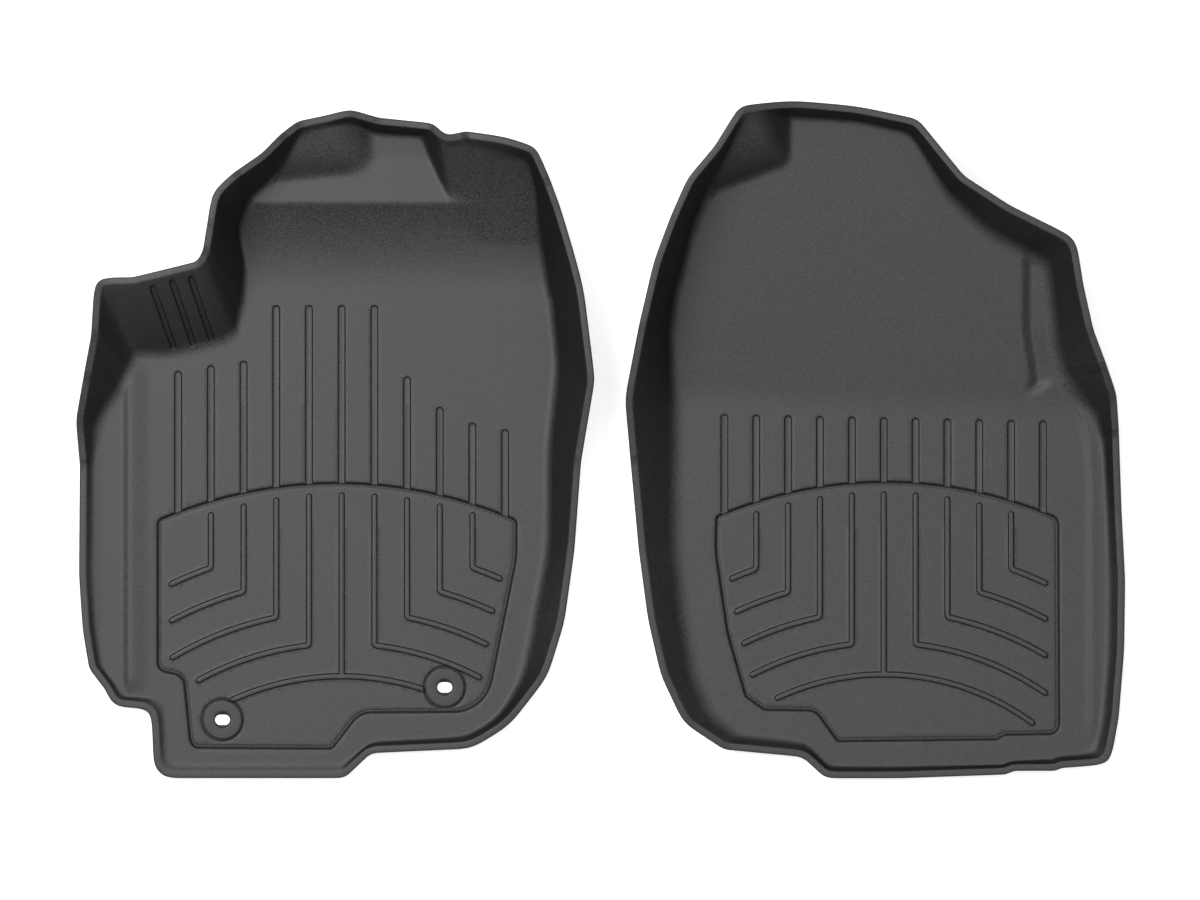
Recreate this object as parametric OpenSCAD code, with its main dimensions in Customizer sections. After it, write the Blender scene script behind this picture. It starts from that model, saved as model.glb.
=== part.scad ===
// Front floor liner set for a car: a driver's tray and a passenger's tray, each moulded in one sheet
// with raised walls, a toe ramp, drain channels and a ribbed reservoir. The driver's tray is held to
// the car's floor posts by two slotted eyelets, each an upper eyelet and a snap ring under the sheet.
// +X runs to the passenger's side, +Y to the front of the car, and Z = 0 is the underside.

/* [Set] */
// Distance between the two trays' own centres, along X
tray_spacing = 583; // [575:1:640]

/* [Sheet] */
// Thickness of the moulded sheet
sheet = 3; // [2.5:0.1:3.5]
// Width of the flat rim around each tray
rim_w = 7.5; // [6.5:0.5:8]
// Plan length of the curve where a wall meets the floor
foot_curve = 8; // [4:1:10]

/* [Reservoir] */
// Depth of the reservoir below the floor around it
reservoir_depth = 3.5; // [3:0.1:4]
// Width of a raised rib
rib_w = 7.2; // [6:0.2:8]
// Height of a rib above the reservoir's bottom
rib_h = 2.5; // [2:0.1:2.9]
// Inner radius where a rib bends outward
rib_bend_r = 1; // [0.8:0.2:2]

/* [Channels] */
// Width of a drain channel
channel_w = 9; // [8:0.5:10]
// Depth of a drain channel
channel_d = 2; // [1.5:0.1:2.5]

/* [Eyelets] */
// Radius of the eyelet's flange on top of the sheet
eyelet_r = 21; // [20:0.5:22]
// Thickness of the eyelet's flange
eyelet_flange = 2.5; // [2:0.1:2.9]
// Radius of the round recess that takes the head of the car's floor post
recess_r = 8.4; // [8:0.1:9]
// Thickness of the slotted web at the bottom of the recess
web = 1.5; // [1.2:0.1:1.8]
// Length of the slot across the car
slot_l = 16; // [14:0.5:16]
// Width of the slot
slot_w = 11.2; // [9:0.2:12]
// Wall of the eyelet's barrel
barrel_wall = 3.2; // [3:0.1:4]
// Radius of the snap ring under the sheet
ring_r = 17; // [16.5:0.5:18]

/* [Hidden] */
arc_steps = 3;
black = [0.13, 0.13, 0.14];
dark_grey = [0.2, 0.2, 0.21];
overcut = 20;

// Every tray is listed clockwise seen from above, and starts where the toe ramp meets the left wall.
// A row is one corner: rim x, y, z and corner radius, then wall foot x, y and corner radius.
driver_corners = [
    [-141, 205, 108,   8,    -98, 150,  40],
    [-136, 235, 114,  40,    -97, 182,  40],
    [-131, 268, 116,  34,   -104, 220,  25],
    [-107, 289, 110,  35,    -97, 250,  25],
    [ -78, 309, 100,  50,    -73, 273,  30],

    [ -58, 330,  88,  40,    -55, 294,  20],
    [ -40, 344,  77,  16,    -41, 329,  12],
    [ -11, 350,  77, 100,    -11, 338,  60],
    [  17, 357,  78,  22,     14, 343,  20],
    [  47, 348,  68,  24,     40, 329,  20],
    [ 106, 342,  70,  13,     98, 328,  12],
    [ 120, 328,  84,  11,    118, 314,  10],
    [ 141, 333,  97,  14,    146, 320,  20],
    [ 183, 327, 101, 150,    175, 306,  20],

    [ 217, 316, 101,  16,    208, 300,  10],
    [ 232, 281,  92, 100,    213, 265,  60],
    [ 243, 251,  86, 150,    215, 225,  80],
    [ 256, 208,  85, 200,    221, 187,  80],
    [ 268, 164,  84, 250,    228, 150,  60],

    [ 280,  66,  80,  45,    236,  87,  80],
    [ 265, -23,  58,  85,    224, -15, 150],
    [ 258, -118, 42, 300,    221, -118, 200],
    [ 247, -196, 38, 150,    205, -198, 120],
    [ 229, -254, 34,  80,    193, -262,  80],
    [ 188, -307, 24,  90,    168, -302,  60],
    [147, -332, 17,  50,    136, -317,  60],
    [38, -337, 14,  12,     40, -322,  14],
    [10, -364, 9.5,  12,      8, -345,  14],
    [-196, -364, 9.5,  20,   -180, -345,  10],
    [-199, -289, 12,  12,   -182, -274,  12],
    [-240, -287, 13,  15,   -228, -275,   8],
    [-249, -268, 13,  10,   -236, -262,   8],
    [-266, -246, 13.5,  14,   -251, -242,  12],
    [-273, -204, 14, 150,   -257, -202,  60],
    [-277, -145, 14, 200,   -258, -145, 100],
    [-276, -26, 15,  70,   -258, -15,   30],
    [-280, 22, 30,  50,   -249,  18,   30],
    [-271, 69, 54,  60,   -231,  47,   30],
    [-262, 114,  76,  60,   -220,  76,   20],
    [-258, 176,  92,  14,   -214,  91,   12],
    [-217, 176,  96,  22,   -178,  89,   60],
    [-147, 193, 100,   8,   -109, 106,  10]
];
driver_chain = [5, 9];

passenger_corners = [
    [-271, 46, 78,  90,   -210,  36, 100],
    [-256, 124, 100, 200,   -216, 103,  80],
    [-240, 193, 108, 200,   -211, 158,  60],
    [-222, 241, 114, 100,   -197, 214,  60],
    [-204, 282, 118,  50,   -179, 258,  20],

    [-175, 316, 122,  60,   -165, 297,  30],
    [-148, 360, 122,  15,   -144, 344,  10],
    [ -92, 366, 104, 200,    -90, 347,  60],
    [ -22, 360,  98, 300,    -22, 343, 100],
    [  44, 346, 100,  17,     39, 330,  20],
    [  93, 285, 104,  30,     72, 268,  30],
    [ 143, 253, 100, 100,    118, 226,  60],

    [ 214, 218,  92,  20,    183, 192,  10],
    [ 222, 168,  86, 100,    183, 152,  60],
    [ 233, 120,  78,  60,    187, 104,  60],
    [ 248,  81,  66,  60,    195, 73,  30],
    [259, 50, 47,  40,    221,  31,  40],

    [262, 8, 31,  60,    240,   2,  30],
    [265, -74, 22, 200,    245, -58, 100],
    [269, -150, 20, 200,    246, -155, 200],
    [268, -226, 20, 250,    245, -242, 150],
    [262, -299, 20, 100,    239, -310,  60],
    [253, -349, 18,  15,    229, -336,  12],
    [200, -353, 17,   8,    195, -338,   8],
    [194, -356, 17,   8,    189, -341,   8],
    [149, -356, 17,   8,    144, -344,   8],
    [140, -360, 17,   8,    136, -348,   8],
    [26, -364, 17, 300,     26, -349, 300],
    [-55, -364, 17,  15,    -51, -349,   9],
    [-79, -341, 17,  15,    -75, -322,  12],
    [-164, -333, 20,  14,   -143, -314,  12],
    [-208, -304, 28,  45,   -171, -288,  30],
    [-232, -253, 35,  70,   -188, -247,  60],
    [-246, -193, 40, 200,   -198, -183, 100],
    [-256, -118, 42, 200,   -206, -107, 200],
    [-265, -21, 57, 200,   -208, -26,  100]
];
passenger_chain = [5, 7];

// Reservoir outlines: x, y and corner radius. The wide arch at the front is one corner of large radius.
driver_reservoir = [
    [-193, -84, 5], [3, -3, 508], [197, -84, 5], [197, -126, 110], [163, -294, 44], [27, -295, 24],
    [-3, -332, 9], [-158, -331, 12], [-165, -255, 12], [-193, -249, 12]
];
passenger_reservoir = [
    [-174, -80, 5], [13, -3, 488], [199, -82, 5], [200, -318, 9], [140, -319, 6], [131, -324, 6],
    [-42, -326, 6], [-66, -293, 13], [-121, -292, 6], [-142, -277, 8], [-162, -208, 200], [-175, -118, 150]
];

// Rib patterns: middle x, pitch, centre y and radius of the arc rib, y and radius of the line of rib
// tops, then where the ribs and the arc rib end on the left and on the right, counted from the middle.
driver_ribs = [6.5, 35.3, -540, 286, -55, 475, [-116, -148, -176, -177, -177], [97, 155, 162, 169, 177]];
passenger_ribs = [8.6, 34.4, -525, 273, -54, 455, [-106, -133, -142, -150, -155], [169, 183, 183, 183, 183]];

// Front ends of the drain channels, from the left
driver_channels = [76, 82, 87, 147, 147, 147, 147, 70, 37, 20, 13];
passenger_channels = [for (k = [-5:5]) 26 - 0.7 * k];
channel_rear = -90;

left_eyelet_at = [-122.5, -301];
right_eyelet_at = [117.5, -266];

bottom_z = sheet;
floor_z = sheet + reservoir_depth;
rib_top = bottom_z + rib_h;
barrel_r = recess_r + barrel_wall;
hole_r = barrel_r + 0.3;
seat_depth = 1.5;
ring_gap = 0.1;

function unit(v) = v / norm(v);
function flat(p) = [p.x, p.y];
function wrap(list, i) = list[(i + len(list)) % len(list)];

// A corner rounded by a circular arc, as steps + 1 points from one edge to the next. The arc takes
// no more than the stated share of either edge.
function round_corner(before, at, after, r, steps, share) =
    let (
        back = norm(flat(before) - flat(at)),
        ahead = norm(flat(after) - flat(at)),
        u = (flat(before) - flat(at)) / back,
        v = (flat(after) - flat(at)) / ahead,
        half_turn = (180 - acos(max(-1, min(1, u * v)))) / 2,
        reach = min(max(r * tan(half_turn), 2), share * back, share * ahead),
        a = at + (before - at) * reach / back,
        b = at + (after - at) * reach / ahead,
        w = cos(half_turn)
    )
    [for (i = [0:steps])
        let (t = i / steps, ka = (1 - t) * (1 - t), kc = 2 * t * (1 - t) * w, kb = t * t)
        (a * ka + at * kc + b * kb) / (ka + kc + kb)];

// A closed outline with every corner rounded by the same number of steps
function round_loop(corners, radii, steps, share) = [
    for (i = [0:len(corners) - 1])
        each round_corner(wrap(corners, i - 1), corners[i], wrap(corners, i + 1), radii[i], steps, share)
];

// Points moved to the inside of a clockwise outline
function inset(outline, d) = [
    for (i = [0:len(outline) - 1])
        let (
            e1 = unit(flat(outline[i] - wrap(outline, i - 1))),
            e2 = unit(flat(wrap(outline, i + 1) - outline[i])),
            n1 = [e1.y, -e1.x],
            n = unit(n1 + [e2.y, -e2.x]),
            k = d / max(0.7, n * n1)
        )
        [outline[i].x + k * n.x, outline[i].y + k * n.y, outline[i].z]
];

// Smooth larger and smaller of two heights, blended over r
function smooth_max(a, b, r) = let (h = max(r - abs(a - b), 0) / r) max(a, b) + h * h * r / 4;
function smooth_min(a, b, r) = -smooth_max(-a, -b, r);

// The driver's floor, ramp and toe board. The ramp curves up to a shallow ledge. Two raised pods
// stand in the front corners, each with a sloping face to the rear and a steep side to the middle.
ramp_start = 161;
ramp_end = 257;
ledge_h = 33;
function driver_ramp(y) =
    y < ramp_start ? 0
    : y < ramp_end ? ledge_h * pow((y - ramp_start) / (ramp_end - ramp_start), 2)
    : ledge_h - min(y - ramp_end, 48) * 0.07 + max(y - ramp_end - 48, 0) * 0.12;
function driver_left_pod(x, y) =
    let (d = y - 285 - 0.1 * (x + 39))
    ledge_h + smooth_min(smooth_min(d, 6 + d * 0.5, 8), (38 - x) * 1.1, 30);
function driver_right_pod(x, y) =
    let (k = max(0, min(1, (x - 105) / 55)), d = max(0, y - 208 + 15 * k * k * (3 - 2 * k)))
    smooth_min(d * 0.45 + d * d * 0.0017, ledge_h + (x - 95 - (325 - y) * 0.44) * 2.4, 10);
function driver_floor(x, y) =
    floor_z + smooth_max(smooth_max(driver_ramp(y), driver_left_pod(x, y), 4), driver_right_pod(x, y), 4);

// The passenger's floor and ramp, with one pod in the front left corner
ramp_slope = 0.2;
function passenger_ramp(x, y) = smooth_max((y - 47 + 0.032 * (x + 203)) * ramp_slope, 0, 3);
function passenger_pod(x, y) =
    let (d = y - 272 - 0.37 * (x + 166))
    passenger_ramp(x, y) + smooth_min(smooth_min(d * 1.2, 14 + d * 0.5, 10), (-93 - x) * 0.9, 16);
function passenger_floor(x, y) = floor_z + smooth_max(passenger_ramp(x, y), passenger_pod(x, y), 4);

function rims(corners) =
    round_loop([for (c = corners) [c[0], c[1], c[2]]], [for (c = corners) c[3]], arc_steps, 0.46);
function feet(corners) =
    round_loop([for (c = corners) [c[4], c[5], 0]], [for (c = corners) c[6]], arc_steps, 0.46);
function outlines(corners) = round_loop([for (c = corners) [c[0], c[1]]], [for (c = corners) c[2]], 10, 0.96);

driver_rim = rims(driver_corners);
passenger_rim = rims(passenger_corners);
low = [
    -tray_spacing / 2 + min([for (p = driver_rim) p.x]),
    min([for (p = concat(driver_rim, passenger_rim)) p.y])
];
high = [
    tray_spacing / 2 + max([for (p = passenger_rim) p.x]),
    max([for (p = concat(driver_rim, passenger_rim)) p.y])
];
centre = (low + high) / 2;
driver_at = [-tray_spacing / 2 - centre.x, -centre.y, 0];
passenger_at = [tray_spacing / 2 - centre.x, -centre.y, 0];

// One tray as a closed shell: rings of points from the rim down the wall to its foot, a grid of rows
// across the ramp from the left foot to the right foot, and a flat floor behind the first row.
module tray_shell(corners, chain, floor_at) {
    rim = rims(corners);
    foot_plan = feet(corners);
    count = len(rim);
    rows = chain[0] * (arc_steps + 1) - 1;
    columns = chain[1] * (arc_steps + 1) + 1;
    last_right = rows + columns + rows;

    foot = [for (p = foot_plan) [p.x, p.y, floor_at(p.x, p.y)]];
    rim_low = [for (p = rim) p - [0, 0, sheet]];
    rim_in = inset(rim, rim_w);
    rim_under = [for (p = inset(rim, rim_w - 1.1 * sheet)) p - [0, 0, sheet]];
    curve_start = [
        for (i = [0:count - 1])
            let (run = flat(rim_in[i] - foot[i]), k = min(foot_curve / norm(run), 0.45))
            [foot[i].x + run.x * k, foot[i].y + run.y * k, foot[i].z + (rim_in[i].z - foot[i].z) * k * 0.6]
    ];
    // the sheet is thicker under the flat floor, whose underside is level
    function under_z(top, row) = max(0, top - max(1.15 * sheet, floor_z - row));
    foot_under = [
        for (i = [0:count - 1])
            let (
                out = unit(flat(rim_in[i] - foot[i])) * sheet / 2,
                row = i <= rows ? i : i <= rows + columns ? rows : i <= last_right ? last_right - i : 0
            )
            [foot[i].x + out.x, foot[i].y + out.y, under_z(foot[i].z, row)]
    ];

    // plan of the ramp's grid: straight rows that bend towards the front edge
    function grid_plan(points, k, j) =
        let (
            t = j / columns,
            left = flat(points[k]),
            right = flat(points[last_right - k]),
            front = flat(points[rows + j]),
            chord = flat(points[rows]) * (1 - t) + flat(points[rows + columns]) * t
        )
        left * (1 - t) + right * t + (front - chord) * pow(k / rows, 1.5);
    ramp_top = [
        for (k = [0:rows - 1], j = [1:columns - 1])
            let (p = grid_plan(foot, k, j)) [p.x, p.y, floor_at(p.x, p.y)]
    ];
    ramp_under = [
        for (k = [0:rows - 1], j = [1:columns - 1])
            let (p = grid_plan(foot_under, k, j)) [p.x, p.y, under_z(floor_at(p.x, p.y), k)]
    ];
    middle = [0, -100];
    points = concat(
        rim_low, rim, rim_in, curve_start, foot, rim_under, foot_under, ramp_top, ramp_under,
        [[middle.x, middle.y, floor_z], [middle.x, middle.y, 0]]
    );
    top_ring = 4 * count;
    under_ring = 6 * count;
    ramp_top_first = 7 * count;
    ramp_under_first = ramp_top_first + len(ramp_top);
    middle_top = ramp_under_first + len(ramp_under);
    middle_under = middle_top + 1;

    // index of a point of the ramp's grid, whose outer points belong to the foot ring
    function grid_index(ring, first, k, j) =
        j == 0 ? ring + k
        : j == columns ? ring + last_right - k
        : k == rows ? ring + rows + j
        : first + k * (columns - 1) + j - 1;
    function strip(outer, inner) = [
        for (i = [0:count - 1])
            let (n = (i + 1) % count)
            each [
                [outer + i, outer + n, inner + n],
                [outer + i, inner + n, inner + i]
            ]
    ];
    function flip(faces) = [for (f = faces) [f[0], f[2], f[1]]];
    function grid(ring, first) = [
        for (k = [0:rows - 1], j = [0:columns - 1])
            let (
                a = grid_index(ring, first, k, j),
                b = grid_index(ring, first, k + 1, j),
                c = grid_index(ring, first, k + 1, j + 1),
                d = grid_index(ring, first, k, j + 1)
            )
            each (j < columns / 2 ? [[a, b, d], [b, c, d]] : [[a, c, d], [a, b, c]])
    ];
    // the flat floor is a fan about its middle: the rear wall's foot, then the ramp's first row
    function fan(ring, first, hub) = concat(
        [for (i = [last_right:count - 1]) [ring + i, ring + (i + 1) % count, hub]],
        [for (j = [0:columns - 1]) [grid_index(ring, first, 0, j), grid_index(ring, first, 0, j + 1), hub]]
    );
    polyhedron(points, concat(
        strip(0, count),
        strip(count, 2 * count),
        strip(2 * count, 3 * count),
        strip(3 * count, top_ring),
        flip(strip(0, 5 * count)),
        flip(strip(5 * count, under_ring)),
        grid(top_ring, ramp_top_first),
        flip(grid(under_ring, ramp_under_first)),
        fan(top_ring, ramp_top_first, middle_top),
        flip(fan(under_ring, ramp_under_first, middle_under))
    ));
}

// A line of constant width with round ends, as one polygon
module stroke(path, width) {
    last = len(path) - 1;
    function heading(i) = unit(path[min(i + 1, last)] - path[max(i - 1, 0)]);
    function side(i, s) = path[i] + s * width / 2 * [-heading(i).y, heading(i).x];
    function cap(i, from) = [
        for (a = [18:18:162])
            path[i] + width / 2 * [cos(from - a), sin(from - a)]
    ];
    start = atan2(heading(0).y, heading(0).x);
    end = atan2(heading(last).y, heading(last).x);
    polygon(concat(
        [for (i = [0:last]) side(i, 1)],
        cap(last, end + 90),
        [for (i = [last:-1:0]) side(i, -1)],
        cap(0, start - 90)
    ));
}

// The rib pattern: an arc rib across the rear, a straight rib down the middle that joins it, and
// pairs of ribs that run back, bend outward and follow arcs about the same centre
module rib_pattern(ribs) {
    middle = ribs[0];
    pitch = ribs[1];
    arc_y = ribs[2];
    function on_arc(r, x) = arc_y + sqrt(r * r - (x - middle) * (x - middle));
    function top_y(x) = ribs[4] - ribs[5] + sqrt(pow(ribs[5], 2) - pow(x - middle, 2)) - rib_w / 2;
    function arc(r, from, to) =
        let (steps = ceil(abs(to - from) / 14))
        [for (i = [0:steps]) let (x = from + (to - from) * i / steps) [x, on_arc(r, x)]];
    stroke(arc(ribs[3], ribs[6][0], ribs[7][0]), rib_w);
    stroke([[middle, top_y(middle)], [middle, on_arc(ribs[3], middle)]], rib_w);
    for (k = [1:4], s = [-1, 1]) {
        x = middle + s * k * pitch;
        leg = arc(ribs[3] + k * pitch, x, s < 0 ? ribs[6][k] : ribs[7][k]);
        bend = round_corner([x, leg[0].y + 20], leg[0], leg[1], rib_w / 2 + rib_bend_r, 6, 0.46);
        stroke(concat([[x, top_y(x)]], bend, [for (i = [1:len(leg) - 1]) leg[i]]), rib_w);
    }
}

// What is cut from the shell: the reservoir, less its ribs, and the channels that drain into it
module wet_area(outline, ribs, channels) {
    difference() {
        translate([0, 0, bottom_z])
            linear_extrude(overcut)
                polygon(outlines(outline));
        translate([0, 0, -overcut])
            linear_extrude(overcut + rib_top)
                rib_pattern(ribs);
    }
    for (k = [0:len(channels) - 1]) {
        x = ribs[0] + (k - 5) * ribs[1];
        translate([0, 0, floor_z - channel_d])
            linear_extrude(overcut)
                stroke([[x, channels[k] - channel_w / 2], [x, channel_rear]], channel_w);
    }
}

module driver_liner() {
    color(black)
        translate(driver_at)
            difference() {
                tray_shell(driver_corners, driver_chain, function(x, y) driver_floor(x, y));
                wet_area(driver_reservoir, driver_ribs, driver_channels);
                for (at = [left_eyelet_at, right_eyelet_at])
                    translate(at) {
                        translate([0, 0, -overcut])
                            cylinder(h = 2 * overcut, r = hole_r, $fn = 64);
                        translate([0, 0, -overcut])
                            cylinder(h = overcut + seat_depth, r = ring_r + 0.3, $fn = 64);
                        translate([0, 0, bottom_z])
                            cylinder(h = overcut, r = eyelet_r + 0.4, $fn = 96);
                    }
            }
}

module passenger_liner() {
    color(black)
        translate(passenger_at)
            difference() {
                tray_shell(passenger_corners, passenger_chain, function(x, y) passenger_floor(x, y));
                wet_area(passenger_reservoir, passenger_ribs, passenger_channels);
            }
}

// Upper eyelet: a flange on the sheet and a barrel through it, with a round recess over a slotted web
module eyelet(at) {
    web_top = ring_gap + web;
    color(black)
        translate(driver_at + [at.x, at.y, 0])
            difference() {
                union() {
                    translate([0, 0, bottom_z])
                        cylinder(h = eyelet_flange, r = eyelet_r, $fn = 96);
                    translate([0, 0, ring_gap])
                        cylinder(h = bottom_z, r = barrel_r, $fn = 64);
                }
                translate([0, 0, web_top])
                    cylinder(h = overcut, r = recess_r, $fn = 64);
                translate([0, 0, -1])
                    linear_extrude(overcut)
                        stroke([[-(slot_l - slot_w) / 2, 0], [(slot_l - slot_w) / 2, 0]], slot_w);
            }
}

// Snap ring that clamps the sheet from below, flush with the underside
module eyelet_ring(at) {
    color(dark_grey)
        translate(driver_at + [at.x, at.y, ring_gap])
            difference() {
                cylinder(h = seat_depth - ring_gap, r = ring_r, $fn = 64);
                translate([0, 0, -1])
                    cylinder(h = overcut, r = barrel_r, $fn = 64);
            }
}

module left_eyelet() { eyelet(left_eyelet_at); }
module left_eyelet_ring() { eyelet_ring(left_eyelet_at); }
module right_eyelet() { eyelet(right_eyelet_at); }
module right_eyelet_ring() { eyelet_ring(right_eyelet_at); }

driver_liner();
passenger_liner();
left_eyelet();
left_eyelet_ring();
right_eyelet();
right_eyelet_ring();
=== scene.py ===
import math

import bpy
import numpy as np
from mathutils import Matrix, Vector
from mathutils.bvhtree import BVHTree
from mathutils.geometry import delaunay_2d_cdt


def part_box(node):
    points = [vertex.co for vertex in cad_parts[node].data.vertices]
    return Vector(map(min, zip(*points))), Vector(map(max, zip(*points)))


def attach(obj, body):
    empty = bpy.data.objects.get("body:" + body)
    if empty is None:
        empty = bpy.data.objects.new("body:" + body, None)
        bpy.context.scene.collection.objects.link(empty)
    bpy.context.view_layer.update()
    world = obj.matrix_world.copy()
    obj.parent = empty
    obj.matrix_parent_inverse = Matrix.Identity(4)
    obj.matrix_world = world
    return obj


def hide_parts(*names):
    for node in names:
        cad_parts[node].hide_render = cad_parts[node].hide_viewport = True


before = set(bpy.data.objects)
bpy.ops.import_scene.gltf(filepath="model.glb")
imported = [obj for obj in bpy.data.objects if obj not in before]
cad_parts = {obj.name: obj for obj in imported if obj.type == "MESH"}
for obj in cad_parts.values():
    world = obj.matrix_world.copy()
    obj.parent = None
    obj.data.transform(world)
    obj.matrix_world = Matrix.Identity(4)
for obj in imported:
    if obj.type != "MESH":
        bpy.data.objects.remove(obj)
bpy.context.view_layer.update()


# ---------------------------------------------------------------------------------------------------
# Driver's tray: pressed from black thermoplastic elastomer sheet, 3 mm thick, so the underside follows
# the top, with a footrest at the left, a toe ramp up to a ledge, and holes for the two eyelets. Lengths
# are in millimetres in a tray's own frame, +X to the passenger's side and +Y to the front
MM = 0.001
SHEET = 3.0
RIM_W = 7.5
FLOOR_Z = 6.5
RESERVOIR_DEPTH = 3.5
RIB_W = 7.2
RIB_H = 2.5
CHANNEL_W = 9.0
CHANNEL_D = 2.5
CHANNEL_REAR = -90
EYELET_R = 21.0
HOLE_R = 11.9
RING_SEAT_R = 17.3
RING_SEAT_DEPTH = 1.5
RESERVOIR_EDGE = 4.0
RIB_EDGE = 1.7
GULLY_W = 2.4
GULLY_D = 1.0
FORMED_EDGE = (0.0, 0.15, 0.35, 0.5, 0.65, 0.85, 1.0)
GROOVE_R = 23.8
GROOVE_D = 2.0
LIP_R = 1.5
WALL_RINGS = 15
LEAN_LOWEST = 0.32
LINE_STEP = 3
GRID_FLAT = 4.0
GRID_CURVED = 3.0
GRID_CLEAR = 0.9


def unit(v):
    return v / np.linalg.norm(v, axis=-1, keepdims=True)


def rounded(corners, radii, steps, share=0.46):
    """A closed outline whose corners are arcs of the same number of steps."""
    corners = np.array(corners, float)
    points = []
    for before, at, after, r in zip(np.roll(corners, 1, 0), corners, np.roll(corners, -1, 0), radii):
        back = np.linalg.norm((before - at)[:2])
        ahead = np.linalg.norm((after - at)[:2])
        cosine = (before - at)[:2] @ (after - at)[:2] / back / ahead
        half_turn = (math.pi - math.acos(max(-1.0, min(1.0, cosine)))) / 2
        reach = min(max(r * math.tan(half_turn), 2), share * back, share * ahead)
        a = at + (before - at) * reach / back
        b = at + (after - at) * reach / ahead
        for t in np.linspace(0, 1, steps + 1):
            ka, kc, kb = (1 - t) ** 2, 2 * t * (1 - t) * math.cos(half_turn), t * t
            points.append((a * ka + at * kc + b * kb) / (ka + kc + kb))
    return np.array(points)


def paired(rim, foot, longest):
    """Rim and foot outlines with points added side by side, so that no rim step is too long."""
    rims, feet = [], []
    for r0, r1, f0, f1 in zip(rim, np.roll(rim, -1, 0), foot, np.roll(foot, -1, 0)):
        parts = max(1, math.ceil(np.linalg.norm((r1 - r0)[:2]) / longest))
        for t in np.arange(parts) / parts:
            rims.append(r0 + (r1 - r0) * t)
            feet.append(f0 + (f1 - f0) * t)
    return np.array(rims), np.array(feet)


def eased(loop, passes, furthest):
    """A closed line with its corners eased, moved nowhere by more than a furthest distance."""
    soft = loop
    for _ in range(passes):
        soft = soft * 0.5 + (np.roll(soft, 1, 0) + np.roll(soft, -1, 0)) * 0.25
    moved = np.linalg.norm(soft - loop, axis=1, keepdims=True)
    return loop + (soft - loop) * np.minimum(1, furthest / np.maximum(moved, 1e-9))


def close_set(line, closed):
    """The same line with points at most LINE_STEP apart."""
    ends = np.roll(line, -1, 0) if closed else line[1:]
    points = []
    for a, b in zip(line, ends):
        parts = max(1, math.ceil(np.linalg.norm(b - a) / LINE_STEP))
        points += [a + (b - a) * k / parts for k in range(parts)]
    if not closed:
        points.append(line[-1])
    return np.array(points)


def inward(loop):
    """Unit vectors to the inside of a clockwise outline, in plan."""
    along = unit(np.roll(loop, -1, 0)[:, :2] - np.roll(loop, 1, 0)[:, :2])
    return np.stack([along[:, 1], -along[:, 0]], 1)


def smooth_max(a, b, r):
    h = np.maximum(r - abs(a - b), 0) / r
    return np.maximum(a, b) + h * h * r / 4


def smooth_min(a, b, r):
    return -smooth_max(-a, -b, r)


def eased_step(t):
    t = np.clip(t, 0, 1)
    return t * t * (3 - 2 * t)


def is_inside(points, loop):
    """Whether each point lies inside a closed outline."""
    x, y = points[:, 0], points[:, 1]
    hit = np.zeros(len(points), bool)
    for (x0, y0), (x1, y1) in zip(loop[:, :2], np.roll(loop, -1, 0)[:, :2]):
        crosses = (y0 > y) != (y1 > y)
        hit ^= crosses & (x < (x1 - x0) * (y - y0) / ((y1 - y0) or 1) + x0)
    return hit


def distance(points, line):
    """Distance of each point from an open line."""
    best = np.full(len(points), 1e9)
    for a, b in zip(line[:-1], line[1:]):
        ab = b - a
        t = np.clip((points - a) @ ab / (ab @ ab), 0, 1)
        best = np.minimum(best, np.linalg.norm(points - a - t[:, None] * ab, axis=1))
    return best


def stroke_outline(line, half):
    """Closed outline of a line of constant width with round ends."""
    ahead = np.vstack([line[1:], line[-1:]])
    behind = np.vstack([line[:1], line[:-1]])
    heading = unit(ahead - behind)
    left = np.stack([-heading[:, 1], heading[:, 0]], 1)
    turns = np.radians(np.arange(15, 180, 15))

    def cap(at, first, forward):
        return [at + half * (math.cos(a) * first + math.sin(a) * forward) for a in turns]

    return np.array([
        *(line + half * left), *cap(line[-1], left[-1], heading[-1]),
        *(line - half * left)[::-1], *cap(line[0], -left[0], -heading[0]),
    ])


def rib_lines(middle, pitch, arc_y, arc_r, top_y, top_r, left_ends, right_ends):
    """Middle lines of the ribs: an arc across the rear, a straight rib that joins it, and pairs of
    ribs that run back, bend outward and follow arcs about the same centre."""
    def arc(r, start, stop):
        xs = np.linspace(start, stop, max(2, math.ceil(abs(stop - start) / 6)))
        return np.stack([xs, arc_y + np.sqrt(r * r - (xs - middle) ** 2)], 1)

    def front(x):
        return top_y - top_r + math.sqrt(top_r ** 2 - (x - middle) ** 2) - RIB_W / 2

    lines = [arc(arc_r, left_ends[0], right_ends[0]),
             np.array([[middle, front(middle)], [middle, arc_y + arc_r]])]
    for k in range(1, 5):
        for side, end in ((-1, left_ends[k]), (1, right_ends[k])):
            x = middle + side * k * pitch
            leg = arc(arc_r + k * pitch, x, end)
            bend = rounded([[x, leg[0][1] + 20], leg[0], leg[1]], [0, RIB_W / 2 + 1, 0], 6)[7:14]
            lines.append(np.vstack([[[x, front(x)]], bend, leg[1:]]))
    return lines


def channel_lines(ribs, fronts):
    xs = [ribs[0] + (k - 5) * ribs[1] for k in range(11)]
    return [np.array([[x, y - CHANNEL_W / 2], [x, CHANNEL_REAR]]) for x, y in zip(xs, fronts)]


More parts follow.
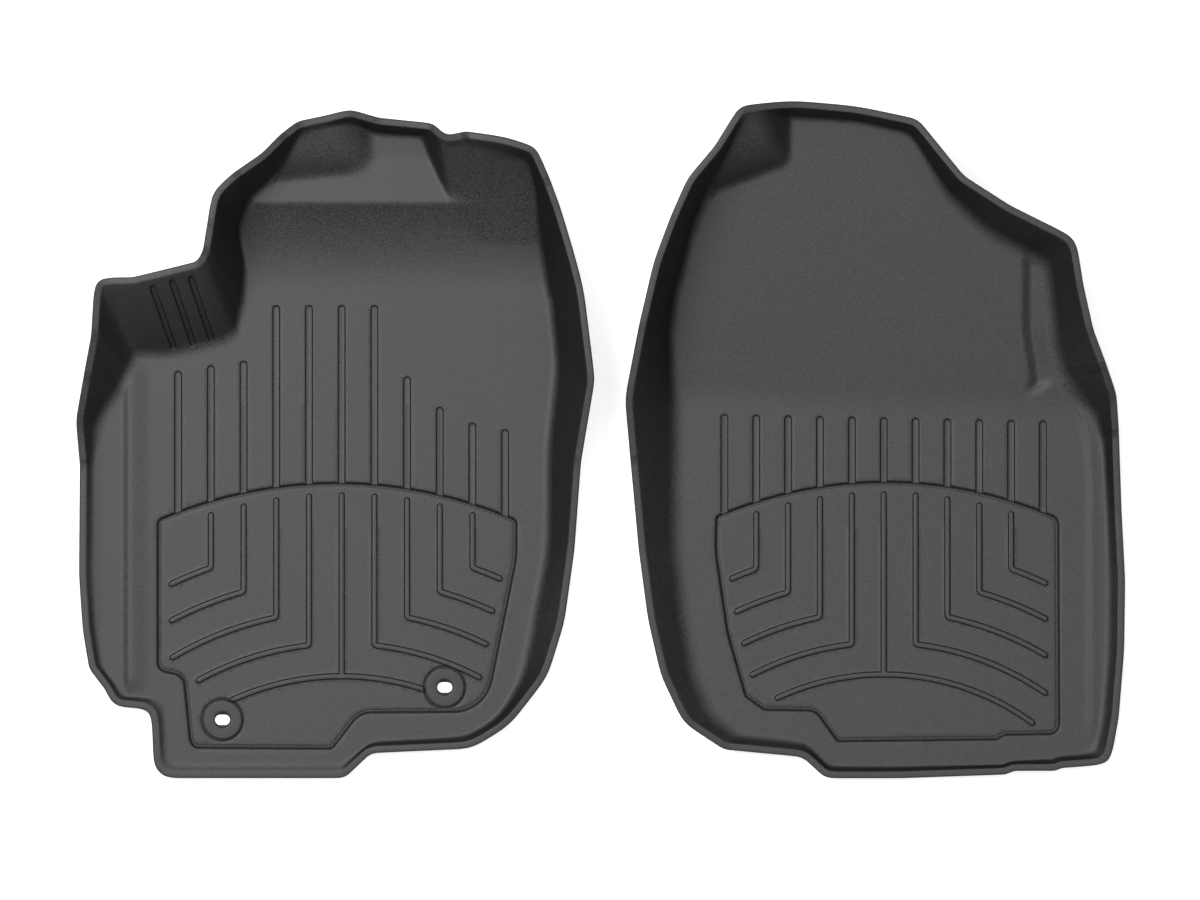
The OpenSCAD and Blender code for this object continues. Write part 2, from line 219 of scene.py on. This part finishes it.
def wall_rings(rim, foot, floor_at, foot_curve):
    """Outlines down the inside of the wall, from the rim's inner edge to the wall's foot."""
    edge = np.column_stack([rim[:, :2] + RIM_W * inward(rim), rim[:, 2]])
    run = edge[:, :2] - foot
    width = np.linalg.norm(run, axis=1)
    curve = np.minimum(foot_curve, 0.4 * width)
    low = foot + unit(run) * curve[:, None]
    low = np.column_stack([low, floor_at(low[:, 0], low[:, 1])])
    foot = np.column_stack([foot, floor_at(foot[:, 0], foot[:, 1])])
    wall = edge - low
    height = np.linalg.norm(wall, axis=1)
    wall = unit(wall)
    start = low + wall * np.minimum(curve, 0.45 * height)[:, None]
    top = edge - wall * np.minimum(LIP_R, 0.2 * height)[:, None]
    lip = np.column_stack([rim[:, :2] + (RIM_W - LIP_R) * inward(rim), rim[:, 2]])
    rings = []
    for t in (0, 0.25, 0.5, 0.75):
        rings.append(lip * (1 - t) ** 2 + edge * 2 * t * (1 - t) + top * t * t)
    for t in np.arange(WALL_RINGS) / WALL_RINGS:
        rings.append(top * (1 - t) + start * t)
    for t in (0, 0.14, 0.28, 0.42, 0.56, 0.7, 0.85, 1):
        rings.append(start * (1 - t) ** 2 + low * 2 * t * (1 - t) + foot * t * t)
    return rings


def tray_mesh(name, rim, foot, floor_at, foot_curve, reservoir, ribs, channels, reliefs, eyelets, creases):
    """A pressed tray: rim, walls and floor as one skin, and the same skin a sheet's thickness below."""
    rings = wall_rings(rim, foot, floor_at, foot_curve)
    count = len(rim)

    # lines that the skin's triangles follow: the rings, and both sides of every formed edge
    loops = list(rings)
    formed = [(line, RIB_W / 2, RIB_EDGE) for line in ribs]
    formed += [(line, CHANNEL_W / 2, RIB_EDGE) for line in channels]
    formed += [(line, half, edge) for line, half, _, edge in reliefs]
    for s in FORMED_EDGE:
        loops.append(close_set(reservoir + (s * RESERVOIR_EDGE) * inward(reservoir), True))
        if 0 < s < 1:
            loops.append(close_set(reservoir + (RESERVOIR_EDGE + s * GULLY_W) * inward(reservoir), True))
        loops += [close_set(stroke_outline(line, half - edge * s), True) for line, half, edge in formed]
    angles = np.radians(np.arange(0, 360, 5))
    circle = np.stack([np.cos(angles), np.sin(angles)], 1)
    for at in eyelets:
        for r in (HOLE_R, RING_SEAT_R, RING_SEAT_R + 0.3, EYELET_R - 0.4, EYELET_R + 0.1, EYELET_R + 0.6,
                  EYELET_R + 1.2, GROOVE_R - 0.8, GROOVE_R):
            loops.append(np.array(at) + r * circle)
    points, edges = [], []
    for loop in loops:
        first = len(points)
        points += [Vector(p[:2]) for p in loop]
        edges += [(first + i, first + (i + 1) % len(loop)) for i in range(len(loop))]
    for line in creases:
        first = len(points)
        points += [Vector(p) for p in close_set(line, False)]
        edges += [(i, i + 1) for i in range(first, len(points) - 1)]
    # a coarser grid for the flat floor behind, and a finer one for the ramp in front of it
    grid = [(x, y) for x in np.arange(-290, 300, GRID_FLAT) for y in np.arange(-370, 40, GRID_FLAT)]
    grid += [(x, y) for x in np.arange(-290, 300, GRID_CURVED) for y in np.arange(40, 380, GRID_CURVED)]
    grid = np.array(grid)
    grid = grid[is_inside(grid, foot)]
    for line, half, edge in formed:
        grid = grid[abs(distance(grid, line) - half + edge / 2) > edge / 2 + GRID_CLEAR]
    from_pool = distance(grid, np.vstack([reservoir, reservoir[:1]]))
    outside = (from_pool > 1) & ~is_inside(grid, reservoir)
    grid = grid[outside | (from_pool > RESERVOIR_EDGE + GULLY_W + GRID_CLEAR)]
    points += [Vector(p) for p in grid]
    skin = delaunay_2d_cdt(points, edges, [], 0, 1e-4, True)
    plan = np.array([tuple(p) for p in skin[0]])
    link = {i: k for k, ids in enumerate(skin[3]) for i in ids if i < count}
    border = np.array([link[i] for i in range(count)])
    faces = np.array(skin[2])
    faces = faces[~np.isin(faces, border).all(axis=1)]
    for at in eyelets:
        middle = plan[faces].mean(axis=1) - at
        faces = faces[np.linalg.norm(middle, axis=1) > HOLE_R]

    # height of the plain skin: the floor inside the walls' foot, and the walls outside it
    base = floor_at(plan[:, 0], plan[:, 1])
    on_wall = np.nonzero(~is_inside(plan, foot))[0]
    corners = np.vstack(rings)
    quads = []
    for k in range(len(rings) - 1):
        for i in range(count):
            j = (i + 1) % count
            quads.append((k * count + i, k * count + j, (k + 1) * count + j, (k + 1) * count + i))
    walls = BVHTree.FromPolygons([tuple(c) for c in corners], quads)
    for i in on_wall:
        # a ray straight down an edge can slip past it, so the next ones go beside it
        for dx, dy in ((0, 0), (0.05, 0.02), (-0.05, 0.02), (0.02, -0.05)):
            hit = walls.ray_cast((plan[i][0] + dx, plan[i][1] + dy, 500), (0, 0, -1))[0]
            if hit is not None:
                break
        if hit is None:
            hit = Vector(corners[np.argmin(np.linalg.norm(corners[:, :2] - plan[i], axis=1))])
        base[i] = hit.z
    # the sheet is thicker upwards where the wall is steep
    solid = np.column_stack([plan, base])
    normal = np.zeros((len(solid), 3))
    face_normal = np.cross(solid[faces[:, 1]] - solid[faces[:, 0]], solid[faces[:, 2]] - solid[faces[:, 0]])
    for k in range(3):
        np.add.at(normal, faces[:, k], face_normal)
    lean = np.clip(unit(normal + [0, 0, 1e-9])[:, 2], LEAN_LOWEST, 1)

    # what the mould presses in: reservoir, ribs, channels and the other reliefs
    pool = distance(plan, np.vstack([reservoir, reservoir[:1]]))
    pool = np.where(is_inside(plan, reservoir), -pool, pool)
    pool_share = eased_step(-pool / RESERVOIR_EDGE)
    gully = eased_step(-pool / RESERVOIR_EDGE) - eased_step((-pool - RESERVOIR_EDGE) / GULLY_W)
    dip = RESERVOIR_DEPTH * pool_share + GULLY_D * gully
    for line in channels:
        dip = np.maximum(dip, CHANNEL_D * eased_step((CHANNEL_W / 2 - distance(plan, line)) / RIB_EDGE))
    rib = np.zeros(len(plan))
    for line in ribs:
        rib = np.maximum(rib, eased_step((RIB_W / 2 - distance(plan, line)) / RIB_EDGE))
    for at in eyelets:
        reach = np.linalg.norm(plan - at, axis=1)
        rib *= eased_step((reach - EYELET_R - 0.6) / 0.6)
        dip += GROOVE_D * eased_step((reach - EYELET_R + 0.4) / 0.5) * eased_step((GROOVE_R - reach) / 1.9)
    top = base - dip + RIB_H * rib * pool_share
    for line, half, rise, edge in reliefs:
        top += rise * eased_step((half - distance(plan, line)) / edge)
    under = np.maximum(top - SHEET / lean, 0)
    for at in eyelets:
        seat = eased_step((RING_SEAT_R + 0.3 - np.linalg.norm(plan - at, axis=1)) / 0.3)
        under = np.maximum(under, RING_SEAT_DEPTH * seat)

    # the rim is a flat flange with a rounded outer edge, and the sheet turns down behind it
    n = len(plan)
    vertices = [np.column_stack([plan, top]), np.column_stack([plan, under])]
    into = inward(rim)
    flange = []
    for inset, drop in ((4.0, 0), (2.2, 0), (1.5, 0.1), (0.8, 0.4), (0.3, 0.9), (0, 1.7),
                        (0, SHEET - 0.3), (0.3, SHEET), (RIM_W - 1.1 * SHEET, SHEET)):
        flange.append(np.column_stack([rim[:, :2] + inset * into, rim[:, 2] - drop]))
    vertices += flange
    vertices = np.vstack(vertices)
    around = [border] + [2 * n + k * count + np.arange(count) for k in range(len(flange))] + [n + border]
    polygons = faces.tolist() + (faces[:, ::-1] + n).tolist()
    for inner, outer in zip(around[:-1], around[1:]):
        for i in range(count):
            j = (i + 1) % count
            polygons.append((inner[i], inner[j], outer[j], outer[i]))
    # walls of the eyelets' holes
    used = dict.fromkeys((a, b) for f in faces.tolist() for a, b in zip(f, f[1:] + f[:1]))
    for a, b in [e for e in used if (e[1], e[0]) not in used]:
        for at in eyelets:
            if max(np.linalg.norm(plan[[a, b]] - at, axis=1)) < HOLE_R + 1:
                polygons.append((b, a, a + n, b + n))
    mesh = bpy.data.meshes.new(name)
    mesh.from_pydata((vertices * MM).tolist(), [], [tuple(int(v) for v in f) for f in polygons])
    mesh.shade_smooth()
    return mesh


def linear(code):
    """Linear colour of an sRGB hex value."""
    parts = [int(code[i:i + 2], 16) / 255 for i in (1, 3, 5)]
    return [v / 12.92 if v <= 0.04045 else ((v + 0.055) / 1.055) ** 2.4 for v in parts] + [1]


def add_node(material, kind, settings=(), links=()):
    """Adds a node, sets its properties and sockets by name, and links its sockets from other nodes."""
    node = material.node_tree.nodes.new(kind)
    for name, value in dict(settings).items():
        if name in node.inputs:
            node.inputs[name].default_value = value
        else:
            setattr(node, name, value)
    for name, source in dict(links).items():
        material.node_tree.links.new(source, node.inputs[name])
    return node


def new_material(name):
    material = bpy.data.materials.new(name)
    material.use_nodes = True
    material.node_tree.nodes.clear()
    return material


# Thermoplastic elastomer, pressed against a grained tool: a dull black that shows light from above as
# a soft grey sheen. A cell of the grain is drawn coarser than is usual, so that it shows
grain_mm = 1.8
elastomer = new_material("pressed_elastomer_grained")
place = add_node(elastomer, "ShaderNodeTexCoord")
grain = add_node(elastomer, "ShaderNodeTexNoise", {"Scale": 1 / (grain_mm * MM), "Detail": 2.0},
                 {"Vector": place.outputs["Object"]})
speck = add_node(elastomer, "ShaderNodeMapRange", {"From Min": 0.3, "From Max": 0.7},
                 {"Value": grain.outputs["Fac"]})
# painted shade: steep walls are toned darker by their slope, standing in for the light from above that they
# catch less; a look choice and not a known property of the real finish
facing = add_node(elastomer, "ShaderNodeSeparateXYZ", (), {"Vector": place.outputs["Normal"]})
steep_wall_painted_shade = add_node(elastomer, "ShaderNodeMapRange", {"From Min": 0.3, "From Max": 0.85},
                    {"Value": facing.outputs["Z"]})
fine = add_node(elastomer, "ShaderNodeMix", {"data_type": "RGBA"}, {"Factor": speck.outputs["Result"]})
fine.inputs["A"].default_value = linear("#222224")
fine.inputs["B"].default_value = linear("#3f3f41")
tone = add_node(elastomer, "ShaderNodeMix", {"data_type": "RGBA"},
                {"Factor": steep_wall_painted_shade.outputs["Result"], "B": fine.outputs["Result"]})
# near-black painted shade that the steepest walls take instead of the grain's own colour
tone.inputs["A"].default_value = linear("#0d0d0e")
mottle = add_node(elastomer, "ShaderNodeMapRange", {"To Min": 0.46, "To Max": 0.62},
                  {"Value": speck.outputs["Result"]})
bump = add_node(elastomer, "ShaderNodeBump", {"Strength": 0.5, "Distance": 0.25 * MM},
                {"Height": grain.outputs["Fac"]})
skin = add_node(elastomer, "ShaderNodeBsdfPrincipled", {"IOR": 1.5},
                {"Base Color": tone.outputs["Result"], "Roughness": mottle.outputs["Result"],
                 "Normal": bump.outputs["Normal"]})
add_node(elastomer, "ShaderNodeOutputMaterial", (), {"Surface": skin.outputs["BSDF"]})


def place_tray(name, mesh, node, body, rim):
    """Puts a tray where its packed liner stands, on that liner's body."""
    low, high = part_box(node)
    corner = rim[:, :2].min(axis=0) * MM
    mesh.transform(Matrix.Translation((low.x - corner[0], low.y - corner[1], 0)))
    mesh.materials.append(elastomer)
    tray = bpy.data.objects.new(name, mesh)
    bpy.context.scene.collection.objects.link(tray)
    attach(tray, body)
    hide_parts(node)


# The toe ramp's ledge lies between two raised corners, and a low ridge runs along the sill
LEDGE_H = 33
RAMP_START = 161
RAMP_END = 257
SILL_X = -231
SILL_H = 3.0

driver_corners = [
    [-141, 205, 108, 8, -98, 150, 40],
    [-136, 235, 114, 40, -97, 182, 40],
    [-131, 268, 116, 34, -104, 220, 25],
    [-107, 289, 110, 35, -97, 250, 25],
    [-78, 309, 100, 50, -73, 273, 30],
    [-58, 330, 88, 40, -55, 294, 20],
    [-40, 344, 77, 16, -41, 329, 12],
    [-11, 350, 77, 100, -11, 338, 60],
    [17, 357, 78, 22, 14, 343, 20],
    [47, 348, 68, 24, 40, 329, 20],
    [106, 342, 70, 13, 98, 328, 12],
    [120, 328, 84, 11, 118, 314, 10],
    [141, 333, 97, 14, 146, 320, 20],
    [183, 327, 101, 150, 175, 306, 20],
    [217, 316, 101, 16, 208, 300, 10],
    [232, 281, 92, 100, 213, 265, 60],
    [243, 251, 86, 150, 215, 225, 80],
    [256, 208, 85, 200, 221, 187, 80],
    [268, 164, 84, 250, 228, 150, 60],
    [280, 66, 80, 45, 236, 87, 80],
    [265, -23, 58, 85, 224, -15, 150],
    [258, -118, 42, 300, 221, -118, 200],
    [247, -196, 38, 150, 205, -198, 120],
    [229, -254, 34, 80, 193, -262, 80],
    [188, -307, 24, 90, 168, -302, 60],
    [147, -332, 17, 50, 136, -317, 60],
    [38, -337, 14, 12, 40, -322, 14],
    [10, -364, 9.5, 12, 8, -345, 14],
    [-196, -364, 9.5, 20, -180, -345, 10],
    [-199, -289, 12, 12, -182, -274, 12],
    [-240, -287, 13, 15, -228, -275, 8],
    [-249, -268, 13, 10, -236, -262, 8],
    [-266, -246, 13.5, 14, -251, -242, 12],
    [-273, -204, 14, 150, -257, -202, 60],
    [-277, -145, 14, 200, -258, -145, 100],
    [-276, -26, 15, 70, -258, -15, 30],
    [-280, 22, 30, 50, -249, 18, 30],
    [-271, 69, 54, 60, -231, 47, 30],
    [-262, 114, 76, 60, -220, 76, 20],
    [-258, 176, 92, 14, -214, 91, 12],
    [-217, 176, 96, 22, -178, 89, 60],
    [-147, 193, 100, 8, -109, 106, 10],
]
driver_reservoir = [
    [-194, -84, 9], [3, -3, 508], [197, -84, 9], [197, -126, 110], [163, -294, 44], [27, -295, 24],
    [-3, -334, 9], [-158, -333, 12], [-166, -255, 12], [-194, -249, 12],
]
driver_ribs = [6.5, 35.3, -540, 286, -55, 475, [-116, -148, -176, -177, -177], [97, 155, 162, 169, 177]]
driver_channels = [76, 82, 87, 147, 147, 147, 147, 70, 37, 20, 13]
footrest_grooves = [[[-195, 164], [-175, 102]], [[-174, 170], [-154, 106]], [[-154, 174], [-134, 110]]]
eyelets_at = [[-122.5, -301], [117.5, -266]]


def driver_floor(x, y):
    ramp = LEDGE_H * (np.clip(y - RAMP_START, 0, RAMP_END - RAMP_START) / (RAMP_END - RAMP_START)) ** 2
    ramp -= np.clip(y - RAMP_END, 0, 48) * 0.07
    ramp += np.maximum(y - RAMP_END - 48, 0) * 0.12
    d = y - 285 - 0.1 * (x + 39)
    left = LEDGE_H + smooth_min(smooth_min(d, 6 + d * 0.5, 8), (38 - x) * 1.1, 30)
    d = np.maximum(y - 208 + 15 * eased_step((x - 105) / 55), 0)
    panel = d * 0.45 + d * d * 0.0017
    cut = smooth_min(panel, LEDGE_H + (x - 95 - (325 - y) * 0.44) * 2.4, 10)
    blended = ramp + np.maximum(panel - ramp, 0) * eased_step((x - 92) / 62)
    above_ledge = eased_step((y - 232) / 30)
    right = smooth_max(ramp, cut, 5) * above_ledge + blended * (1 - above_ledge)
    across = x - SILL_X
    sill = SILL_H * (eased_step(across / 9) - eased_step((across - 9) / 22))
    sill += 0.8 * eased_step(-(across + 21) / 8)
    sill *= eased_step((95 - y) / 25) * eased_step((y + 275) / 20)
    return FLOOR_Z + np.maximum(smooth_max(ramp, left, 5), right) + sill


def tray_outlines(corners):
    rim = rounded([c[:3] for c in corners], [c[3] for c in corners], 6)
    foot = rounded([c[4:6] for c in corners], [c[6] for c in corners], 6)
    rim, foot = paired(rim, foot, 4)
    rim[:, :2] = eased(rim[:, :2], 10, 1.2)
    rim[:, 2:] = eased(rim[:, 2:], 40, 20)
    foot = eased(foot, 24, 2.5)
    foot += 3.5 * eased_step((rim[:, 2:] - 40) / 30) * inward(foot)
    return rim, foot


rim, foot = tray_outlines(driver_corners)
pool = rounded([c[:2] for c in driver_reservoir], [c[2] for c in driver_reservoir], 16, 0.96)
reliefs = [(np.array(g, float), 3.9, -4.0, 2.0) for g in footrest_grooves]
creases = [np.array([[SILL_X + s, 92.0], [SILL_X + s, -272.0]]) for s in (0, 2.2, 4.5, 6.8, 9)]
mesh = tray_mesh("driver_tray_skin", rim, foot, driver_floor, 9, pool, rib_lines(*driver_ribs),
                 channel_lines(driver_ribs, driver_channels), reliefs, eyelets_at, creases)
place_tray("driver_tray_skin", mesh, "driver_liner", "driver_tray", rim)


# ---------------------------------------------------------------------------------------------------
# Passenger's tray: pressed from the same sheet and grain, with a long toe ramp, a raised corner at the
# front left, a gutter beside the ramp and a step along the sill
passenger_corners = [
    [-271, 46, 78, 90, -210, 36, 100],
    [-256, 124, 100, 200, -216, 103, 80],
    [-240, 193, 108, 200, -211, 158, 60],
    [-222, 241, 114, 100, -197, 214, 60],
    [-204, 282, 118, 50, -179, 258, 20],
    [-175, 316, 122, 60, -165, 297, 30],
    [-148, 360, 122, 15, -144, 344, 10],
    [-92, 366, 104, 200, -90, 347, 60],
    [-22, 360, 98, 300, -22, 343, 100],
    [44, 346, 100, 17, 39, 330, 20],
    [93, 285, 104, 30, 70, 264, 30],
    [143, 253, 100, 100, 115, 221, 60],
    [214, 218, 92, 20, 181, 188, 10],
    [222, 168, 86, 100, 183, 152, 60],
    [233, 120, 78, 60, 187, 104, 60],
    [248, 81, 66, 60, 195, 73, 30],
    [259, 50, 47, 40, 221, 31, 40],
    [262, 8, 31, 60, 240, 2, 30],
    [265, -74, 22, 200, 245, -58, 100],
    [269, -150, 20, 200, 246, -155, 200],
    [268, -226, 20, 250, 245, -242, 150],
    [262, -299, 20, 100, 239, -310, 60],
    [253, -349, 18, 15, 229, -336, 12],
    [200, -353, 17, 8, 195, -338, 8],
    [194, -356, 17, 8, 189, -341, 8],
    [149, -356, 17, 8, 144, -344, 8],
    [140, -360, 17, 8, 136, -348, 8],
    [26, -364, 17, 300, 26, -349, 300],
    [-55, -364, 17, 15, -51, -349, 9],
    [-79, -341, 17, 15, -75, -322, 12],
    [-164, -333, 20, 14, -143, -314, 12],
    [-208, -304, 28, 45, -171, -288, 30],
    [-232, -253, 35, 70, -188, -247, 60],
    [-246, -193, 40, 200, -198, -183, 100],
    [-256, -118, 42, 200, -206, -107, 200],
    [-265, -21, 57, 200, -208, -26, 100],
]
passenger_reservoir = [
    [-174, -80, 8], [13, -3, 488], [199, -82, 13], [200, -318, 13], [140, -319, 6], [131, -324, 6],
    [-42, -326, 6], [-66, -293, 13], [-121, -292, 6], [-142, -277, 8], [-162, -208, 200], [-175, -118, 150],
]
passenger_ribs = [8.6, 34.4, -525, 273, -54, 455, [-106, -133, -142, -150, -155], [169, 183, 183, 183, 183]]
passenger_channels = [26 - 0.7 * k for k in range(-5, 6)]
GUTTER_X = 168.5
GUTTER_D = 5.5
STEP_H = 2.2
sill_step = rounded([[180, 78], [197, 64], [214, 38], [223, 5], [226, -40], [226, -150], [226, -330]],
                    [0, 16, 90, 120, 200, 60, 0], 6)[7:-6]
sill_area = np.vstack([sill_step, [[300, -330], [300, 78]]])


def passenger_floor(x, y):
    ramp = smooth_max((y - 47 + 0.032 * (x + 203)) * 0.2, 0, 3)
    d = y - 272 - 0.37 * (x + 166)
    corner = ramp + smooth_min(smooth_min(d * 1.2, 14 + d * 0.5, 10), (-93 - x) * 1.4, 16)
    valley = GUTTER_X + 8 * eased_step((130 - y) / 70) - 8 * eased_step((66 - y) / 18)
    across = x - valley
    gutter = np.where(across < 0, eased_step(1 + across / 13), np.clip(1 - across / 17, 0, 1))
    gutter *= eased_step((214 - y) / 16) * eased_step((y - 46 - 0.7 * np.maximum(across, 0)) / 18)
    outside = step_distance(x, y)
    step = STEP_H * (eased_step(outside / 8) - 0.35 * eased_step((outside - 8) / 6))
    step *= eased_step((y + 328) / 30) * eased_step((88 - y) / 30)
    return FLOOR_Z + smooth_max(ramp, corner, 4) - GUTTER_D * gutter + step


def step_distance(x, y):
    """Distance outside the line of the step along the sill."""
    points = np.column_stack([np.ravel(x), np.ravel(y)])
    side = is_inside(points, sill_area)
    return np.reshape(np.where(side, distance(points, sill_step), -1), np.shape(x))


rim, foot = tray_outlines(passenger_corners)
pool = rounded([c[:2] for c in passenger_reservoir], [c[2] for c in passenger_reservoir], 16, 0.96)
creases = [sill_step + [s, 0] for s in (0, 2, 4, 6, 8)]
creases += [np.array([[GUTTER_X + s, 212.0], [GUTTER_X + s, 132.0], [GUTTER_X + s + 4, 95.0],
                      [GUTTER_X + s + 8, 66.0]]) for s in (-13, -10, -7, -4, 0)]
mesh = tray_mesh("passenger_tray_skin", rim, foot, passenger_floor, 11, pool, rib_lines(*passenger_ribs),
                 channel_lines(passenger_ribs, passenger_channels), [], [], creases)
place_tray("passenger_tray_skin", mesh, "passenger_liner", "passenger_tray", rim)


# ---------------------------------------------------------------------------------------------------
# Eyelets: two injection-moulded nylon parts that sit in the driver's tray over the car's floor posts.
# A round flange with a soft edge lies on the reservoir's floor, and a barrel goes through the sheet to
# a web with a long slot at the bottom of a round recess
BARREL_R = 11.6
RECESS_R = 8.4
SLOT_L = 16.0
SLOT_W = 11.2
EYELET_PROFILE = [
    (BARREL_R - 0.3, 0.1), (BARREL_R, 0.4), (BARREL_R, 3.0), (20.4, 3.0), (20.8, 3.2), (21.0, 3.6),
    (21.0, 4.3), (20.9, 4.7), (20.6, 5.05), (20.2, 5.3), (19.6, 5.45), (18.8, 5.5), (10.6, 5.5), (9.9, 5.45),
    (9.3, 5.25), (8.8, 4.9), (8.5, 4.4), (RECESS_R, 3.8), (RECESS_R, 2.2), (8.35, 1.9), (8.2, 1.7),
]
TURN = [2 * math.pi * i / 96 for i in range(96)]


def slot_ring(grow, z):
    """The slot's outline, a little larger or smaller, at one height."""
    half = (SLOT_L - SLOT_W) / 2
    r = SLOT_W / 2 + grow
    return [(r * math.cos(a) + half * max(-1, min(1, 8 * math.cos(a))), r * math.sin(a), z) for a in TURN]


def turned(name, rings, node, finish):
    """A closed skin through rings of the same number of points, each joined to the next."""
    n = len(TURN)
    vertices = [p for ring in rings for p in ring]
    polygons = []
    for k in range(len(rings)):
        for i in range(n):
            j = (i + 1) % n
            after = (k + 1) % len(rings)
            polygons.append((k * n + i, k * n + j, after * n + j, after * n + i))
    mesh = bpy.data.meshes.new(name)
    mesh.from_pydata([tuple(v * MM for v in p) for p in vertices], [], polygons)
    mesh.shade_smooth()
    low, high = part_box(node)
    mesh.transform(Matrix.Translation(((low.x + high.x) / 2, (low.y + high.y) / 2, 0)))
    mesh.materials.append(finish)
    piece = bpy.data.objects.new(name, mesh)
    bpy.context.scene.collection.objects.link(piece)
    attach(piece, "driver_tray")
    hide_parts(node)


# Glass-filled nylon: satin charcoal with a faint flow mottle from the mould
nylon = new_material("moulded_nylon_satin")
place = add_node(nylon, "ShaderNodeTexCoord")
flow = add_node(nylon, "ShaderNodeTexNoise", {"Scale": 1 / (1.4 * MM), "Detail": 2.0},
                {"Vector": place.outputs["Object"]})
tone = add_node(nylon, "ShaderNodeMix", {"data_type": "RGBA"}, {"Factor": flow.outputs["Fac"]})
tone.inputs["A"].default_value = linear("#1e1e20")
tone.inputs["B"].default_value = linear("#2e2e30")
satin = add_node(nylon, "ShaderNodeMapRange", {"To Min": 0.42, "To Max": 0.56},
                 {"Value": flow.outputs["Fac"]})
bump = add_node(nylon, "ShaderNodeBump", {"Strength": 0.4, "Distance": 0.08 * MM},
                {"Height": flow.outputs["Fac"]})
skin = add_node(nylon, "ShaderNodeBsdfPrincipled", {"IOR": 1.5},
                {"Base Color": tone.outputs["Result"], "Roughness": satin.outputs["Result"],
                 "Normal": bump.outputs["Normal"]})
add_node(nylon, "ShaderNodeOutputMaterial", (), {"Surface": skin.outputs["BSDF"]})

lathe = [[(r * math.cos(a), r * math.sin(a), z) for a in TURN] for r, z in EYELET_PROFILE]
lathe += [slot_ring(0.15, 1.6), slot_ring(0, 1.45), slot_ring(0, 0.25), slot_ring(0.15, 0.1)]
turned("left_eyelet_skin", lathe, "left_eyelet", nylon)
turned("right_eyelet_skin", lathe, "right_eyelet", nylon)


# ---------------------------------------------------------------------------------------------------
# Snap rings: flat nylon rings pressed on the barrels from below, in the round seats under the sheet.
# They hold the eyelets in the sheet, and show only from underneath
RING_R = 17.0
ring_profile = [
    (BARREL_R + 0.2, 0.1), (RING_R - 0.4, 0.1), (RING_R - 0.1, 0.2), (RING_R, 0.5), (RING_R, 1.1),
    (RING_R - 0.1, 1.4), (RING_R - 0.4, 1.5), (BARREL_R, 1.5), (BARREL_R, 0.3),
]
rings = [[(r * math.cos(a), r * math.sin(a), z) for a in TURN] for r, z in ring_profile]

# The same nylon from a polished mould: blacker and a little glossier than the eyelets
ring_nylon = new_material("moulded_nylon_polished")
place = add_node(ring_nylon, "ShaderNodeTexCoord")
flow = add_node(ring_nylon, "ShaderNodeTexNoise", {"Scale": 1 / (0.8 * MM), "Detail": 1.0},
                {"Vector": place.outputs["Object"]})
tone = add_node(ring_nylon, "ShaderNodeMix", {"data_type": "RGBA"}, {"Factor": flow.outputs["Fac"]})
tone.inputs["A"].default_value = linear("#161617")
tone.inputs["B"].default_value = linear("#222224")
gloss = add_node(ring_nylon, "ShaderNodeMapRange", {"To Min": 0.28, "To Max": 0.4},
                 {"Value": flow.outputs["Fac"]})
skin = add_node(ring_nylon, "ShaderNodeBsdfPrincipled", {"IOR": 1.48},
                {"Base Color": tone.outputs["Result"], "Roughness": gloss.outputs["Result"]})
add_node(ring_nylon, "ShaderNodeOutputMaterial", (), {"Surface": skin.outputs["BSDF"]})
turned("left_eyelet_ring_skin", rings, "left_eyelet_ring", ring_nylon)
turned("right_eyelet_ring_skin", rings, "right_eyelet_ring", ring_nylon)


# ---------------------------------------------------------------------------------------------------
# Studio: a white floor that gives off a little light of its own, a big soft light overhead and a
# smaller one to the front left, and a camera straight above with a long lens
plaster = new_material("white_floor")
floor_skin = add_node(plaster, "ShaderNodeBsdfPrincipled",
                      {"Base Color": linear("#f7f7f7"), "Roughness": 1.0,
                       "Emission Color": (1, 1, 1, 1), "Emission Strength": 0.6})
add_node(plaster, "ShaderNodeOutputMaterial", (), {"Surface": floor_skin.outputs["BSDF"]})
floor_mesh = bpy.data.meshes.new("floor")
under = -0.0002
floor_mesh.from_pydata([(-4, -4, under), (4, -4, under), (4, 4, under), (-4, 4, under)], [], [(0, 1, 2, 3)])
floor_mesh.materials.append(plaster)
floor = bpy.data.objects.new("floor", floor_mesh)
bpy.context.scene.collection.objects.link(floor)


def softbox(name, at, size, watts):
    light = bpy.data.lights.new(name, "AREA")
    light.shape = "DISK"
    light.size = size
    light.energy = watts
    lamp = bpy.data.objects.new(name, light)
    lamp.location = at
    lamp.rotation_euler = Vector(at).to_track_quat("Z", "Y").to_euler()
    bpy.context.scene.collection.objects.link(lamp)


softbox("overhead", (0.12, 0.2, 3), 5.2, 107)
softbox("key", (-1.5, 0.8, 2.9), 1.5, 62)

world = bpy.data.worlds.new("studio")
world.use_nodes = True
world.node_tree.nodes["Background"].inputs["Color"].default_value = (1, 1, 1, 1)
world.node_tree.nodes["Background"].inputs["Strength"].default_value = 0.03
bpy.context.scene.world = world
bpy.context.scene.view_settings.view_transform = "Standard"

camera_data = bpy.data.cameras.new("camera")
camera_data.lens = 500
camera_data.sensor_width = 36
camera_data.clip_start = 0.1
camera_data.clip_end = 40
camera = bpy.data.objects.new("camera", camera_data)
camera.location = (-0.001, -0.0102, 18)
bpy.context.scene.collection.objects.link(camera)
bpy.context.scene.camera = camera
